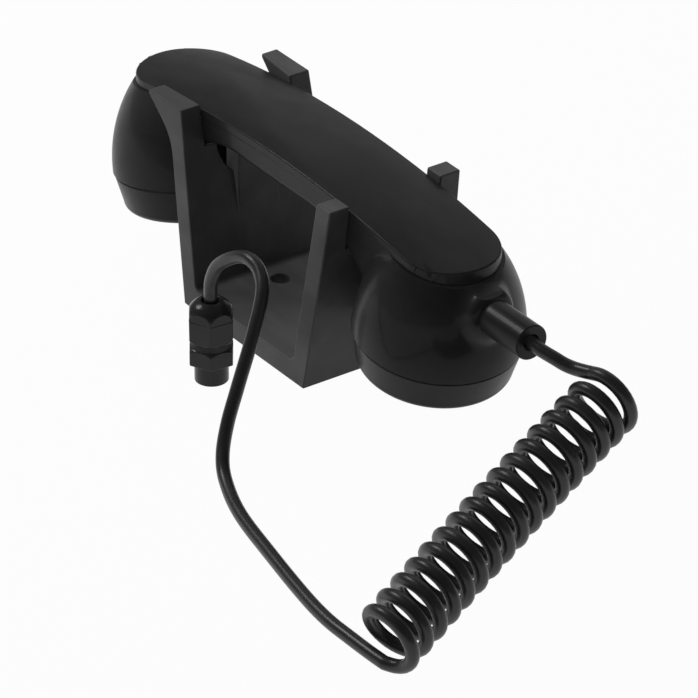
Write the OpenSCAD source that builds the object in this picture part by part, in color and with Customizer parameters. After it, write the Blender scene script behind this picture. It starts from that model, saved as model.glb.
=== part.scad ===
// Audio intercom handset lying in a four-pronged cradle, with a curly cord that ends in a cable gland.
// Millimetres. The origin is the middle of the cradle's underside, +X runs along the handset
// towards its mouthpiece and +Z is up.

/* [Cradle] */
// Length of the cradle's underside along the handset
base_len = 73.6; // [66:0.2:80]
// How far the cradle's underside stands out past the cups on each side
base_margin = 0.5; // [0.2:0.1:3]
// Width across the prongs' tops
top_w = 54.5; // [50:0.5:60]
// Height of the prongs' tops
cradle_h = 73.4; // [70:0.2:78]
// Thickness of the floor plate
floor_t = 7.7; // [5:0.1:10]
// Thickness of the two leaning walls, measured along the handset
wall_t = 8.2; // [6:0.1:9]
// Outward lean of the wall at the mouthpiece end, in degrees
near_lean = 9.2; // [8:0.1:9.8]
// Outward lean of the wall at the earpiece end, in degrees
far_lean = 10.5; // [8:0.1:10.8]
// Chamfer where the floor meets the walls
floor_fillet = 2; // [1:0.1:4]

/* [Prongs] */
// Gap between a prong and the side of the handle
side_gap = 0.95; // [0.5:0.05:2]
// How far the hooked prongs reach past the wall's foot
hook_reach = 25.6; // [22:0.2:28]
// How far below their tops the hooked prongs start to flare
hook_drop = 19.4; // [18:0.2:24]
// Radius of the hooked prongs' flare
hook_bend = 18; // [12:0.5:18]
// Height of the hooked prongs' blunt tips
hook_tip = 1.5; // [1:0.1:3]
// Extra room between the hooked prongs at their tips, on each side
hook_flare = 1.7; // [0:0.1:3]
// Radius of the half-round notch in each wall
notch_r = 14; // [10:0.5:16]
// Height of the notch's centre
notch_z = 57.5; // [54:0.5:60]
// Gap between the saddles and the handle that rests there
saddle_gap = 0.3; // [0.2:0.05:0.6]

/* [Fixing] */
// Distance between the two fixing holes
hole_pitch = 42; // [36:0.5:44]
// Diameter of the fixing holes
hole_d = 7; // [5:0.1:8]

/* [Hook magnet] */
// Width of the housing on the earpiece wall
boss_w = 17.2; // [12:0.2:20]
// Height of the housing's top
boss_top = 56.4; // [52:0.2:57]
// Distance from the cradle's middle to the housing's front face
boss_x = 34.3; // [33:0.1:35]
// Thickness of the housing
boss_t = 7.7; // [7.2:0.1:8]
// Diameter of the magnet
magnet_d = 5; // [3:0.1:5.4]
// Length of the magnet
magnet_len = 10; // [6:0.5:14]
// Thickness of the plug over the magnet
plug_t = 1.6; // [1:0.1:3]

/* [Cups] */
// Distance from the middle to each cup's parting plane centre
cup_x = 74; // [73.5:0.1:78]
// Height of each parting plane's centre
cup_z = 31.2; // [29:0.1:33]
// Radius at the parting line
cup_r = 30; // [28:0.1:30.4]
// Lean of the cups towards each other, in degrees
cup_tilt = 10; // [8:0.1:11]
// Radius of the dome's profile
dome_r = 54.2; // [50:0.2:60]
// Wall of the cups
cup_wall = 2.6; // [2:0.1:4]
// Height of the hollow in each cup
hollow_h = 30; // [29:0.1:30.5]

/* [Caps] */
// Depth of the screw caps below the parting line
cap_h = 14; // [12:0.2:16]
// How far the cap draws in from the cup to its rounded edge
cap_taper = 2.6; // [1.6:0.1:3.2]
// Radius of the cap's rounded edge
cap_edge = 3; // [1:0.1:4]
// Thickness of the cap's face
cap_face = 2.5; // [1.5:0.1:3]
// Step of the cap inside the parting line
cap_step = 0.4; // [0.2:0.05:1]
// Width of the cup's rim outside the spigot that a cap screws on
rim_w = 4.8; // [4.6:0.1:5.5]
// Wall of the spigot
spigot_wall = 2.6; // [2:0.1:4]
// Length of the spigot
spigot_len = 7; // [5:0.2:8]
// Clearance between the spigot and the cap
thread_gap = 0.05; // [0.02:0.01:0.1]
// Thickness of the seal in the parting line
seal_t = 0.8; // [0.5:0.1:1.5]
// Diameter of a sound hole
sound_d = 2.6; // [1.5:0.1:4]
// Radius of the ring of sound holes
sound_ring = 9; // [6:0.5:14]

/* [Capsules] */
// Width of the ring round the receiver capsule
receiver_ring = 4.6; // [3:0.2:8]
// Width of the ring round the microphone capsule
microphone_ring = 10.6; // [5:0.2:14]
// Thickness of both capsules
capsule_t = 9.6; // [8.5:0.1:10]
// Thickness of the cloth behind the sound holes
cloth_t = 0.4; // [0.2:0.1:1]
// Thickness of the rings that hold the capsules
holder_t = 4; // [3:0.5:5]

/* [Handle] */
// Width of the handle
handle_w = 36; // [32:0.2:37]
// Radius of the arch along the handle's top edge
arch_r = 490; // [420:10:600]
// Height of the arch's top edge at the middle
arch_z = 73.2; // [72:0.1:76]
// Height of the flat underside
under_z = 62.5; // [61:0.1:64]
// Half length of the flat underside
under_x = 22; // [18:0.5:26]
// Radius of the underside's bend down to the cups
under_r = 43; // [42:0.5:46]
// Thickness of the back cover at its edge
cover_t = 3.4; // [2.5:0.1:4]
// Crown of the back cover
crown = 1.8; // [0.5:0.1:4]
// Overhang of the back cover past the handle
cover_over = 0.3; // [0.1:0.05:0.6]
// How far the centre of the cover's round ends lies past a cup's axis
cover_past = 5; // [2:0.5:6]
// Width of the wiring channel
channel_w = 22; // [16:0.5:26]
// Half length of the wiring channel
channel_x = 48; // [46:0.5:52]
// Thickness of the handle under the channel
channel_floor = 1.8; // [1.2:0.1:2.4]
// Diameter of the wire ducts
duct_d = 6; // [3:0.5:8]

/* [Electronics] */
// Length of the circuit board
board_len = 62; // [50:1:80]
// Width of the circuit board
board_w = 20; // [14:0.5:22]
// Thickness of the circuit board
board_t = 1.2; // [0.8:0.1:1.6]
// Length of the moulded reed switch
reed_len = 14; // [10:0.5:18]
// Width of the reed switch
reed_w = 4; // [3:0.1:6]
// Height of the reed switch
reed_h = 2.2; // [1.5:0.1:2.4]

/* [Boot] */
// Diameter of the cord boot
boot_d = 12.8; // [11:0.2:14]
// Height of the boot's axis
boot_z = 50.8; // [49:0.1:52]
// How far the boot's free end stands out past the cup
boot_out = 22.8; // [16:0.2:23]
// How far inside the cup's edge the boot's flange seats
boot_in = 12; // [10:0.5:14]
// Thickness of the boot's flange
flange_t = 2.5; // [1.5:0.1:3]
// Width of the flange round the boot
flange_w = 1; // [0.6:0.1:1.2]
// Radius of the boss round the boot
boss_r = 9.5; // [9:0.1:11]
// How far the boss's face stands out past the cup
boss_out = 2; // [0:0.2:5]
// Rounding of the boss's edge
boss_round = 3.5; // [1:0.1:4]
// Diameter of the recess in the boot's end
recess_d = 5.8; // [5.4:0.1:8]
// Depth of the recess
recess_len = 8; // [4:0.5:10]
// How far the cord goes in past the recess
cord_in = 7; // [4:0.5:8]

/* [Cord] */
// Diameter of the cord
cord_d = 4.8; // [4:0.1:5]
// Mean diameter of the curls
curl_d = 20.2; // [19:0.2:22]
// Distance from curl to curl
curl_pitch = 10.46; // [9.8:0.02:11.5]
// Turns from the first curl's start to the tail
curl_turns = 16.5; // [14.5:1:17.5]
// How far the curls lean over along the coil, in degrees
curl_lean = 18.8; // [15:0.2:28]
// How far the curls are swung round from square to the coil, in degrees
curl_swing = 14.5; // [8:0.5:24]
// Turns over which the coil comes down from the boot's height to the surface
coil_drop = 14; // [13:0.5:15]
// Room between the cord and the surface that it lies on
cord_rest = 0.05; // [0.02:0.01:0.2]

/* [Gland] */
// Width across the flats of the gland's hexagons
gland_af = 15; // [14:0.1:17]
// Turn of the hexagons about the gland's axis, in degrees
gland_turn = 25; // [0:1:59]
// Diameter of the spigot that goes through a panel
gland_spigot_d = 12; // [11:0.1:12.4]
// Length of the spigot
gland_spigot_len = 7.5; // [5:0.1:12]
// Height of the lower hexagon
gland_collar = 6.5; // [4:0.1:9]
// Height of the seal ring
gland_ring = 2; // [1:0.1:3]
// Diameter of the seal ring
gland_ring_d = 14.6; // [13.8:0.1:15]
// Height of the cap nut's hexagon
gland_nut_h = 8.7; // [8:0.1:14]
// Height of the cap nut's dome
gland_dome = 6.8; // [3:0.1:7]
// How far the turned chamfers between the hexagons cut in from their corners
gland_chamfer = 1.4; // [0.5:0.1:1.8]
// Rise of those chamfers for each millimetre across
chamfer_slope = 0.8; // [0.4:0.05:1]
// Diameter of the threaded neck inside the cap nut
gland_neck_d = 11.4; // [10.5:0.1:11.6]
// Length of the threaded neck inside the cap nut
gland_neck_len = 6; // [4:0.1:7]
// How far the rubber insert reaches up into the dome
insert_past = 1; // [0.5:0.1:2]
// How far the insert stays inside the neck's outside
insert_step = 0.4; // [0.2:0.1:1]
// Diameter of the cable hole in the dome
gland_hole_d = 6.5; // [5:0.1:8]
// Clearance of the thread inside the cap nut
gland_gap = 0.05; // [0.02:0.01:0.1]

/* [Hidden] */
$fn = 64;
eps = 0.5;
far = 200;
arch_c = arch_z - arch_r;
under_c = under_z - under_r;
slot_h = handle_w / 2 + side_gap;
base_h = base_len / 2;
base_w = 2 * (cup_r + base_margin);
near_k = tan(near_lean);
far_k = tan(far_lean);
inner_h = base_h - wall_t;
// Flare of the hooked prongs: an arc off the wall, then a straight run to the tip's lower corner
hook_start = cradle_h - hook_drop;
hook_tx = base_h + far_k * hook_start;
hook_c = [-hook_tx - hook_bend * cos(far_lean), hook_start - hook_bend * sin(far_lean)];
hook_t = [-base_h - hook_reach, cradle_h - hook_tip];
hook_v = hook_t - hook_c;
hook_vv = hook_v * hook_v;
hook_b = hook_c + hook_v * (hook_bend * hook_bend / hook_vv)
  + [hook_v[1], -hook_v[0]] * (hook_bend * sqrt(hook_vv - hook_bend * hook_bend) / hook_vv);
hook_foot = cradle_h - wall_t / far_k - 2;
magnet_x = boss_x + boss_t / 2;
channel_z = under_z + channel_floor;
board_x = -channel_x + 1 + board_len / 2;
crown_w = handle_w / 2 + cover_over;
crown_r = (crown_w * crown_w + crown * crown) / (2 * crown);
spigot_r = cup_r - rim_w;
cap_low_r = cup_r - cap_taper;
cap_in = spigot_r + thread_gap;
spigot_in = spigot_r - spigot_wall;
receiver_r = spigot_in - receiver_ring;
microphone_r = spigot_in - microphone_ring;
cap_floor = cap_h - cap_face;
boot_r = boot_d / 2;
cord_r = cord_d / 2;
cover_x = cup_x + cover_past;
boot_end = cup_x + cup_r + boot_out;
boot_seat = cup_x + cup_r - boot_in;
boss_end = cup_x + cup_r + boss_out;
cord_seat = boot_end - recess_len - cord_in;

// Gland heights and place
gland_p = [12.5, -52, 0];
ring_z0 = gland_spigot_len + gland_collar;
nut_z0 = ring_z0 + gland_ring;
dome_z0 = nut_z0 + gland_nut_h;
gland_top = dome_z0 + gland_dome;
neck_top = nut_z0 + gland_neck_len;
insert_top = dome_z0 + insert_past;
insert_r = gland_neck_d / 2 - insert_step;
corner_r = gland_af / cos(30) / 2;
chamfer_rise = chamfer_slope * (gland_af - corner_r + gland_chamfer);

// Place and direction of the coil, from the handset's end to the tail
lie_z = cord_r + cord_rest;
coil_r = curl_d / 2;
coil_o = [boot_end - 10.2, 38.6, lie_z + coil_r * cos(curl_lean)];
coil_turn = -60.9;
coil_a = [cos(coil_turn), sin(coil_turn), 0];
// Level and rising directions across the leaning curls
curl_turn = coil_turn - curl_swing;
curl_h = [-sin(curl_turn), cos(curl_turn), 0];
curl_v = [cos(curl_turn) * sin(curl_lean), sin(curl_turn) * sin(curl_lean), cos(curl_lean)];
// The first curls hang from the lead: height of their rise, and its way for each millimetre up
coil_rise = boot_z - 1.5 - coil_o[2] - coil_r * cos(curl_lean);
coil_way = [1.42, -1, 1];
// The coil takes over from the lead a little before its first curl's top
coil_from = -0.06;
coil_step = 8;
coil_n = ceil((curl_turns - coil_from) * coil_step);
splice = cord_d / 4;

function unit(v) = v / norm(v);
function radial(t) = curl_v * cos(360 * t) + curl_h * sin(360 * t);
function left(t) = max(0, 1 - t / coil_drop);
function coil_at(t) = coil_o + coil_a * (curl_pitch * t) + coil_way * (coil_rise * left(t) * left(t))
  + radial(t) * coil_r;
function coil_dir(t) = unit(coil_a * curl_pitch - coil_way * (2 * coil_rise / coil_drop * left(t))
  + (curl_h * cos(360 * t) - curl_v * sin(360 * t)) * (PI * curl_d));

// Smooth curve through four points
function smooth(p, q, r, s, u) = 0.5 * (2 * q + (r - p) * u + (2 * p - 5 * q + 4 * r - s) * u * u
  + (3 * q - p - 3 * r + s) * u * u * u);
function route(pts, n) = [
  for (i = [0 : len(pts) - 2], k = [0 : n - 1])
    smooth(pts[max(i - 1, 0)], pts[i], pts[i + 1], pts[min(i + 2, len(pts) - 1)], k / n),
  pts[len(pts) - 1]
];
function tangent(c, i) = unit(c[min(i + 1, len(c) - 1)] - c[max(i - 1, 0)]);

// Points and triangles of a tube round a list of centres, with side vectors that start each ring
function tube_points(c, side, sides) = [
  for (i = [0 : len(c) - 1])
    let (t = tangent(c, i), u = unit(side[i] - t * (t * side[i])), v = cross(t, u))
    for (k = [0 : sides - 1]) c[i] + (u * cos(360 * k / sides) + v * sin(360 * k / sides)) * cord_r
];
function tube_faces(n, sides) = concat(
  [for (k = [1 : sides - 2]) [0, k, k + 1]],
  [for (k = [1 : sides - 2]) [(n - 1) * sides, (n - 1) * sides + k + 1, (n - 1) * sides + k]],
  [for (i = [0 : n - 2], k = [0 : sides - 1])
    [i * sides + k, (i + 1) * sides + k, i * sides + (k + 1) % sides]],
  [for (i = [0 : n - 2], k = [0 : sides - 1])
    [(i + 1) * sides + k, (i + 1) * sides + (k + 1) % sides, i * sides + (k + 1) % sides]]
);

function turn_at(share) = coil_from + (curl_turns - coil_from) * share;
coil_t = [for (i = [0 : coil_n]) turn_at(i / coil_n)];
coil_s = coil_at(coil_from) - coil_dir(coil_from) * splice;
coil_e = coil_at(curl_turns) + coil_dir(curl_turns) * splice;
coil_c = concat([coil_s], [for (t = coil_t) coil_at(t)], [coil_e]);
coil_side = concat([radial(coil_from)], [for (t = coil_t) radial(t)], [radial(curl_turns)]);

// Route of the lead from the boot's bore to the coil
boot_p = [boot_end, 0, boot_z];
lead_pts = [
  boot_p, boot_p + [4.5, 0.5, -0.8], boot_p + [10.2, 2.1, -1.9], boot_p + [13.8, 3.6, -3],
  boot_p + [17.2, 5.2, -3.5], boot_p + [21.2, 6.4, -3.1], coil_s - coil_dir(coil_from) * splice
];
// Route of the tail from the gland to the coil
tail_pts = [
  gland_p + [0, 0, 34], gland_p + [0.9, -0.3, 39.2], gland_p + [4.3, -0.4, 46], gland_p + [9.2, 0, 50.9],
  gland_p + [16.1, 0.8, 55.3], gland_p + [23, 1, 57.2], gland_p + [30, 0.2, 55.6], gland_p + [36.5, -3.5, 51],
  gland_p + [42.8, -12, 40], gland_p + [48, -21.5, 26.5], gland_p + [51.9, -28.4, 16.5],
  gland_p + [57.2, -34, 8.6], [78, -90.3, lie_z + 1.5], [96, -96.7, lie_z], [123, -102.8, lie_z],
  coil_e + [-48.5, 1.4, 0], coil_e + [-32.5, -0.7, 0], coil_e + [-19.5, -0.9, 0], coil_e + [-8.7, -0.8, 0],
  coil_e + coil_dir(curl_turns) * splice
];
lead_c = concat(
  [[cord_seat, 0, boot_z], boot_p - [recess_len, 0, 0]], route(lead_pts, 2), [coil_s]
);
tail_c = concat(
  [gland_p + [0, 0, 3], gland_p + [0, 0, neck_top], gland_p + [0, 0, gland_top]], route(tail_pts, 3), [coil_e]
);
coil_gap = min([for (i = [0 : len(coil_c) - 1], j = [i + 5 : 1 : len(coil_c) - 1])
  norm(coil_c[i] - coil_c[j])]) - cord_d;
function run(c) = [for (i = [0 : len(c) - 2]) norm(c[i + 1] - c[i])] * [for (i = [0 : len(c) - 2]) 1];
echo(coil_least_gap = coil_gap);
coil_run = run([for (i = [0 : 1000]) coil_at(turn_at(i / 1000))]) + 2 * splice;
echo(cord_lengths = [run(lead_c), coil_run, run(tail_c)]);

// Draws a flat outline in the XZ plane and gives it a width along Y, centred on the middle plane
module slab(w) {
  translate([0, w / 2, 0]) rotate([90, 0, 0]) linear_extrude(height = w) children();
}

// Puts something in the frame of a cup: side is 1 at the mouthpiece and -1 at the earpiece
module cup_frame(side) {
  translate([side * cup_x, 0, cup_z]) rotate([0, side * cup_tilt, 0]) children();
}

// Lies along +X from x0 to x1 on the boot's axis
module along_boot(x0, x1, r) {
  translate([x0, 0, boot_z]) rotate([0, 90, 0]) cylinder(r = r, h = x1 - x0);
}

// Outline of the floor and the two walls
module cradle_outline() {
  polygon([
    [-base_h, 0], [base_h, 0],
    [base_h + near_k * cradle_h, cradle_h], [inner_h + near_k * cradle_h, cradle_h],
    [inner_h + near_k * (floor_t + floor_fillet), floor_t + floor_fillet],
    [inner_h + near_k * floor_t - floor_fillet, floor_t],
    [-inner_h - far_k * floor_t + floor_fillet, floor_t],
    [-inner_h - far_k * (floor_t + floor_fillet), floor_t + floor_fillet],
    [-inner_h - far_k * cradle_h, cradle_h], [-base_h - far_k * cradle_h, cradle_h]
  ]);
}

// Outline of the flare on the hooked prongs
module hook_outline() {
  difference() {
    polygon([
      [-hook_tx, hook_start], [-base_h - far_k * cradle_h + eps, cradle_h], [-base_h - hook_reach, cradle_h],
      hook_t, hook_b
    ]);
    translate(hook_c) circle(r = hook_bend, $fn = 200);
  }
}

// Everything above the bend of the handle's underside, at a distance from it
module above_bend(gap) {
  for (s = [-1, 1])
    mirror([s < 0 ? 1 : 0, 0])
      difference() {
        translate([under_x, under_c]) square([60, 110]);
        translate([under_x, under_c]) circle(r = under_r - gap, $fn = 120);
      }
}

module cradle() {
  color([0.13, 0.13, 0.13])
  difference() {
    union() {
      difference() {
        intersection() {
          rotate([90, 0, 90]) translate([0, 0, -far / 2]) linear_extrude(height = far)
            polygon([[-base_w / 2, 0], [base_w / 2, 0], [top_w / 2, cradle_h], [-top_w / 2, cradle_h]]);
          union() {
            slab(base_w + 2) cradle_outline();
            for (s = [-1, 1])
              translate([0, s * (slot_h + base_w / 4), 0]) slab(base_w / 2) hook_outline();
          }
        }
        slab(2 * slot_h) above_bend(saddle_gap);
        translate([-far / 2, 0, notch_z]) rotate([0, 90, 0]) cylinder(r = notch_r, h = far);
        translate([0, 0, hook_foot]) linear_extrude(height = far)
          polygon([
            [-inner_h - far_k * cradle_h, slot_h - eps / 10],
            [-base_h - hook_reach - 1, slot_h + hook_flare],
            [-base_h - hook_reach - 1, -slot_h - hook_flare],
            [-inner_h - far_k * cradle_h, -slot_h + eps / 10]
          ]);
      }
      slab(boss_w) polygon([
        [-inner_h - far_k * floor_t, floor_t],
        [-boss_x, inner_wall_z(boss_x)], [-boss_x, boss_top], [-boss_x - boss_t, boss_top],
        [-boss_x - boss_t, inner_wall_z(boss_x)], [-inner_h - far_k * floor_t - wall_t / 2, floor_t]
      ]);
    }
    for (s = [-1, 1])
      translate([s * hole_pitch / 2, 0, -1]) cylinder(d = hole_d, h = floor_t + 2);
    translate([-magnet_x, 0, boss_top - plug_t - magnet_len])
      cylinder(d = magnet_d, h = magnet_len + plug_t + 1);
  }
}

// Height where the earpiece wall's inner face reaches a distance from the middle
function inner_wall_z(x) = (x - inner_h) / far_k;

module hook_magnet() {
  color([0.6, 0.6, 0.62])
  translate([-magnet_x, 0, boss_top - plug_t - magnet_len]) cylinder(d = magnet_d, h = magnet_len);
}

module magnet_plug() {
  color([0.13, 0.13, 0.13])
  translate([-magnet_x, 0, boss_top - plug_t]) cylinder(d = magnet_d, h = plug_t);
}

// Half profile of the dome, or of its hollow
module dome_profile(r, h) {
  intersection() {
    translate([cup_r - dome_r, 0]) circle(r = r, $fn = 200);
    square([cup_r + 1, h]);
  }
}

module handset_body() {
  color([0.03, 0.03, 0.03])
  difference() {
    union() {
      difference() {
        intersection() {
          union() {
            for (s = [-1, 1]) cup_frame(s) rotate_extrude() dome_profile(dome_r, 44);
            slab(handle_w) difference() {
              translate([-cup_x, 40]) square([2 * cup_x, 40]);
              translate([-under_x, 0]) square([2 * under_x, under_z]);
              for (s = [-1, 1]) translate([s * under_x, under_c]) circle(r = under_r, $fn = 120);
            }
          }
          translate([0, 0, arch_c]) rotate([90, 0, 0]) translate([0, 0, -far / 2])
            cylinder(r = arch_r - cover_t, h = far, $fn = 720);
        }
        for (s = [-1, 1]) cup_frame(s) rotate_extrude() dome_profile(dome_r - cup_wall, hollow_h);
      }
      for (s = [-1, 1]) cup_frame(s) translate([0, 0, -spigot_len]) difference() {
        cylinder(r = spigot_r, h = spigot_len + cup_wall);
        translate([0, 0, -1]) cylinder(r = spigot_in, h = spigot_len + cup_wall + 2);
      }
      for (s = [-1, 1]) cup_frame(s) difference() {
        cylinder(r = cup_r - 1, h = cup_wall);
        translate([0, 0, -1]) cylinder(r = spigot_in, h = cup_wall + 2);
      }
      translate([boot_seat, 0, boot_z]) rotate([0, 90, 0]) rotate_extrude() union() {
        square([boss_r, boss_end - boot_seat - boss_round]);
        square([boss_r - boss_round, boss_end - boot_seat]);
        translate([boss_r - boss_round, boss_end - boot_seat - boss_round]) circle(r = boss_round);
      }
    }
    translate([-channel_x, -channel_w / 2, channel_z]) cube([2 * channel_x, channel_w, far]);
    for (s = [-1, 1]) wire_duct(s);
    along_boot(boot_seat - 1, boss_end + 5, boot_r);
  }
}

// Sloping duct from the wiring channel into a cup
module wire_duct(side) {
  x0 = channel_x - 3;
  z0 = channel_z + duct_d / 2;
  dx = cup_x - 6 - x0;
  dz = cup_z + hollow_h - 4 - z0;
  translate([side * x0, 0, z0]) rotate([0, side * atan2(dx, dz), 0]) cylinder(d = duct_d, h = norm([dx, dz]));
}

module back_cover() {
  color([0.03, 0.03, 0.03])
  intersection() {
    union() {
      translate([-cover_x, -crown_w, 0]) cube([2 * cover_x, 2 * crown_w, far]);
      for (s = [-1, 1]) translate([s * cover_x, 0, 0]) cylinder(r = crown_w, h = far);
    }
    translate([0, 0, arch_c]) rotate([90, 0, 0]) rotate([0, 0, 76]) rotate_extrude(angle = 28, $fn = 720)
      intersection() {
        translate([arch_r - cover_t, -crown_w]) square([cover_t + crown, 2 * crown_w]);
        translate([arch_r + crown - crown_r, 0]) circle(r = crown_r, $fn = 200);
      }
  }
}

// Screw cap with its sound holes
module screw_cap(side, holes) {
  cup_frame(side) difference() {
    rotate_extrude() difference() {
      union() {
        polygon([
          [0, -cap_h], [cap_low_r - cap_edge, -cap_h], [cap_low_r, -cap_h + cap_edge],
          [cup_r - cap_step, -seal_t], [0, -seal_t]
        ]);
        translate([cap_low_r - cap_edge, -cap_h + cap_edge]) circle(r = cap_edge);
      }
      translate([-1, -spigot_len - 0.5]) square([cap_in + 1, far]);
      translate([-1, -cap_floor]) square([spigot_in + 1, far]);
    }
    translate([0, 0, -cap_h - 1]) {
      cylinder(d = sound_d, h = cap_face + 2);
      for (k = [1 : holes]) rotate([0, 0, 360 * k / holes]) translate([sound_ring, 0, 0])
        cylinder(d = sound_d, h = cap_face + 2);
    }
  }
}

module ear_cap() {
  color([0.03, 0.03, 0.03]) screw_cap(-1, 8);
}

module mouth_cap() {
  color([0.03, 0.03, 0.03]) screw_cap(1, 6);
}

// Seal ring in a parting line
module parting_seal(side) {
  cup_frame(side) translate([0, 0, -seal_t]) difference() {
    cylinder(r = cup_r - 2 * cap_step, h = seal_t);
    translate([0, 0, -1]) cylinder(r = spigot_r, h = seal_t + 2);
  }
}

module ear_seal() {
  color([0.01, 0.01, 0.01]) parting_seal(-1);
}

module mouth_seal() {
  color([0.01, 0.01, 0.01]) parting_seal(1);
}

// Capsule on the cloth behind the sound holes
module capsule(side, r) {
  cup_frame(side) translate([0, 0, cloth_t - cap_floor]) cylinder(r = r, h = capsule_t);
}

module receiver_capsule() {
  color([0.35, 0.35, 0.36]) capsule(-1, receiver_r);
}

module microphone_capsule() {
  color([0.35, 0.35, 0.36]) capsule(1, microphone_r);
}

// Ring between a capsule and the spigot
module holder(side, r) {
  cup_frame(side) translate([0, 0, -spigot_len]) difference() {
    cylinder(r = spigot_in, h = holder_t);
    translate([0, 0, -1]) cylinder(r = r, h = holder_t + 2);
  }
}

module receiver_holder() {
  color([0.2, 0.2, 0.2]) holder(-1, receiver_r);
}

module microphone_holder() {
  color([0.2, 0.2, 0.2]) holder(1, microphone_r);
}

// Cloth disc on the inside of a cap's face
module sound_cloth(side) {
  cup_frame(side) translate([0, 0, -cap_floor]) cylinder(r = spigot_in - 0.5, h = cloth_t);
}

module ear_cloth() {
  color([0.08, 0.08, 0.08]) sound_cloth(-1);
}

module mouth_cloth() {
  color([0.08, 0.08, 0.08]) sound_cloth(1);
}

module circuit_board() {
  color([0.05, 0.25, 0.12])
  translate([board_x - board_len / 2, -board_w / 2, channel_z]) cube([board_len, board_w, board_t]);
}

module reed_switch() {
  color([0.1, 0.1, 0.1])
  translate([-magnet_x - reed_w / 2, -reed_len / 2, channel_z + board_t]) cube([reed_w, reed_len, reed_h]);
}

module cord_boot() {
  color([0.03, 0.03, 0.03])
  difference() {
    union() {
      along_boot(boot_seat - flange_t, boot_end, boot_r);
      along_boot(boot_seat - flange_t, boot_seat, boot_r + flange_w);
    }
    along_boot(boot_end - recess_len, boot_end + 1, recess_d / 2);
    along_boot(cord_seat, boot_end, cord_r);
  }
}

module handset_lead() {
  color([0.03, 0.03, 0.03])
  polyhedron(tube_points(lead_c, [for (p = lead_c) [0, 1, 0.3]], 8), tube_faces(len(lead_c), 8));
}

module cord_coil() {
  color([0.03, 0.03, 0.03])
  polyhedron(tube_points(coil_c, coil_side, 6), tube_faces(len(coil_c), 6));
}

module tail_lead() {
  color([0.03, 0.03, 0.03])
  polyhedron(tube_points(tail_c, [for (p = tail_c) [0.57, 0.82, 0]], 8), tube_faces(len(tail_c), 8));
}

// Hexagon prism across its flats
module hexagon(af, h) {
  rotate([0, 0, gland_turn]) cylinder(d = af / cos(30), h = h, $fn = 6);
}

module gland_body() {
  color([0.03, 0.03, 0.03])
  translate(gland_p) difference() {
    union() {
      cylinder(d = gland_spigot_d, h = gland_spigot_len + eps);
      intersection() {
        translate([0, 0, gland_spigot_len]) hexagon(gland_af, gland_collar);
        rotate_extrude() polygon([
          [0, 0], [gland_af, 0], [gland_af, ring_z0 - chamfer_rise],
          [corner_r - gland_chamfer, ring_z0], [0, ring_z0]
        ]);
      }
      translate([0, 0, ring_z0 - eps]) cylinder(d = gland_neck_d, h = neck_top - ring_z0 + eps);
    }
    translate([0, 0, -1]) cylinder(d = gland_hole_d, h = gland_top);
  }
}

module gland_ring_seal() {
  color([0.01, 0.01, 0.01])
  translate(gland_p + [0, 0, ring_z0]) difference() {
    cylinder(d = gland_ring_d, h = gland_ring);
    translate([0, 0, -1]) cylinder(d = gland_neck_d, h = gland_ring + 2);
  }
}

module gland_insert() {
  color([0.01, 0.01, 0.01])
  translate(gland_p + [0, 0, neck_top]) difference() {
    cylinder(r = insert_r, h = insert_top - neck_top);
    translate([0, 0, -1]) cylinder(r = cord_r, h = gland_top);
  }
}

module gland_nut() {
  color([0.03, 0.03, 0.03])
  translate(gland_p) difference() {
    intersection() {
      translate([0, 0, nut_z0]) hexagon(gland_af, gland_nut_h + gland_dome);
      rotate_extrude() intersection() {
        square([gland_af, gland_top]);
        union() {
          polygon([
            [0, nut_z0], [corner_r - gland_chamfer, nut_z0], [gland_af, nut_z0 + chamfer_rise],
            [gland_af, dome_z0], [0, dome_z0]
          ]);
          square([corner_r - gland_dome, gland_top]);
          translate([corner_r - gland_dome, dome_z0]) circle(r = gland_dome);
        }
      }
    }
    translate([0, 0, nut_z0 - 1]) cylinder(d = gland_neck_d + 2 * gland_gap, h = gland_neck_len + 1);
    translate([0, 0, neck_top - eps]) cylinder(r = insert_r, h = insert_top - neck_top + eps);
    translate([0, 0, insert_top - eps]) cylinder(d = gland_hole_d, h = gland_top);
  }
}

cradle();
hook_magnet();
magnet_plug();
handset_body();
back_cover();
ear_cap();
mouth_cap();
ear_seal();
mouth_seal();
receiver_capsule();
microphone_capsule();
receiver_holder();
microphone_holder();
ear_cloth();
mouth_cloth();
circuit_board();
reed_switch();
cord_boot();
handset_lead();
cord_coil();
tail_lead();
gland_body();
gland_ring_seal();
gland_insert();
gland_nut();
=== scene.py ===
"""Dresses an intercom handset in its pronged cradle: shapes, finishes, cord, floor, light and camera."""

import logging
import math
from dataclasses import dataclass, field
from enum import Enum
from typing import Callable, Sequence

import bmesh
import bpy
import numpy as np
from mathutils import Matrix, Vector


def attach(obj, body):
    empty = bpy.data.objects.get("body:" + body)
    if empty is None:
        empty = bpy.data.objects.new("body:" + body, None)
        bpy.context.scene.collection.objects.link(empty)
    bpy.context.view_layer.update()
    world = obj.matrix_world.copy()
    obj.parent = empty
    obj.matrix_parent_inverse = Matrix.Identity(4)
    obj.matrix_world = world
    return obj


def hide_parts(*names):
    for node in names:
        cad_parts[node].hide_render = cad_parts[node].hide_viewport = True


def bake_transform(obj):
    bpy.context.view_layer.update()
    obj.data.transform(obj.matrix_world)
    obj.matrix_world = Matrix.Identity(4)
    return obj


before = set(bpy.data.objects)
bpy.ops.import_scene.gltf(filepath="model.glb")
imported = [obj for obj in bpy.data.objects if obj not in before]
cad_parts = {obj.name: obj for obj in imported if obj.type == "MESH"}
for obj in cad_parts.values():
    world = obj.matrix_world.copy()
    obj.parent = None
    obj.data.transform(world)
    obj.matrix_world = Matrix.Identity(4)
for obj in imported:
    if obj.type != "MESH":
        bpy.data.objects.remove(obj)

LOG = logging.getLogger("handset")
MM = 0.001
# Points of a CAD mesh that are nearer than this are one point, in metres
WELD = 2e-6
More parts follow.
